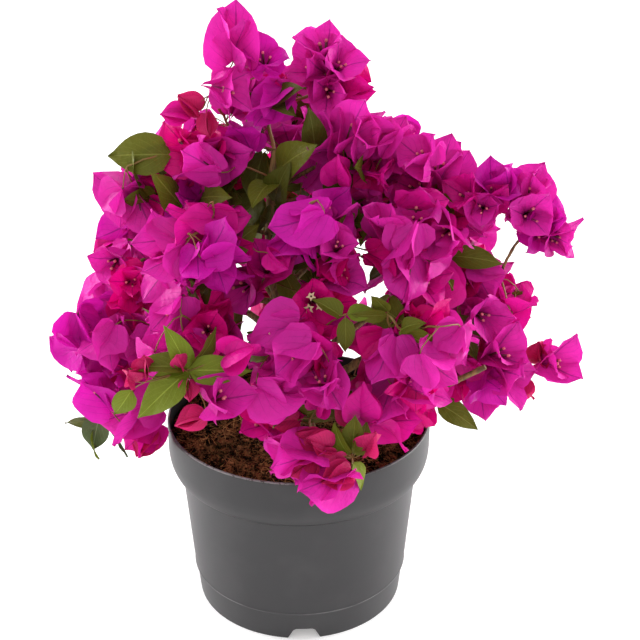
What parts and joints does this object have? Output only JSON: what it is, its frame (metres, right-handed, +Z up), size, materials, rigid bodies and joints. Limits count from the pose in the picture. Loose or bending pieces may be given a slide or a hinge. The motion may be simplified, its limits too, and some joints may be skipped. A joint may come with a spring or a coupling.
{
  "type": "potted bougainvillea bush",
  "caption": "Bushy bougainvillea with magenta bracts and small green leaves, growing in a round grey nursery pot that stands on its foot.",
  "frame": {"origin": "centre of the flat underside of the pot, on the pad in its middle", "axes": "+Z up along the pot's axis, -Y towards the front of the bush"},
  "size_m": [0.3301, 0.2731, 0.4034],
  "materials": {
    "pot": "smooth satin dark grey moulded plastic, paler along the rim and the foot's ledge",
    "soil": "rough dark brown peat and coir with tan fibres",
    "bark": "dull brown ridged bark, greener towards the young tips",
    "bracts": "thin papery magenta bracts with fine veins",
    "leaves": "satin olive to bright green leaves with a paler midrib"
  },
  "bodies": {
    "root": {"pot": "pot", "potting_soil": "soil", "trunk": "bark", "bough_back": "bark", "bough_back_left": "bark", "bough_back_right": "bark", "bough_front": "bark", "bough_front_left": "bark", "bough_front_right": "bark", "bough_left": "bark", "bough_low_back": "bark", "bough_low_front": "bark", "bough_low_left": "bark", "bough_low_right": "bark", "bough_right": "bark", "bough_shoulder_right": "bark", "bough_upper_back": "bark", "bough_upper_back_left": "bark", "bough_upper_back_right": "bark", "bough_upper_left": "bark", "crown_tip": "bracts", "crown_top_back": "bracts", "crown_top_left": "bracts", "crown_top_right": "bracts", "front_spray": "bracts", "hanging_leaves": "leaves", "low_back": "bracts", "low_back_left": "bracts", "low_back_right": "bracts", "low_front": "bracts", "low_front_right": "bracts", "low_left": "bracts", "low_left_hanging": "bracts", "low_right": "bracts", "low_right_tip": "bracts", "mid_back": "bracts", "mid_back_left": "bracts", "mid_back_right": "bracts", "mid_front": "bracts", "mid_front_left": "bracts", "mid_front_right": "bracts", "mid_left": "bracts", "mid_right": "bracts", "outer_right": "bracts", "outrigger_inner": "bracts", "outrigger_outer": "bracts", "shoulder_left": "bracts", "shoulder_right": "bracts", "stub_front_right": "bark", "twig_hanging_left": "bark", "twig_right_outer": "bark", "upper_back_left": "bracts", "upper_back_right": "bracts", "upper_front": "bracts", "upper_front_left": "bracts", "upper_front_right": "bracts", "upper_left": "bracts", "upper_right": "bracts", "young_leaves": "leaves"}
  },
  "joints": []
}
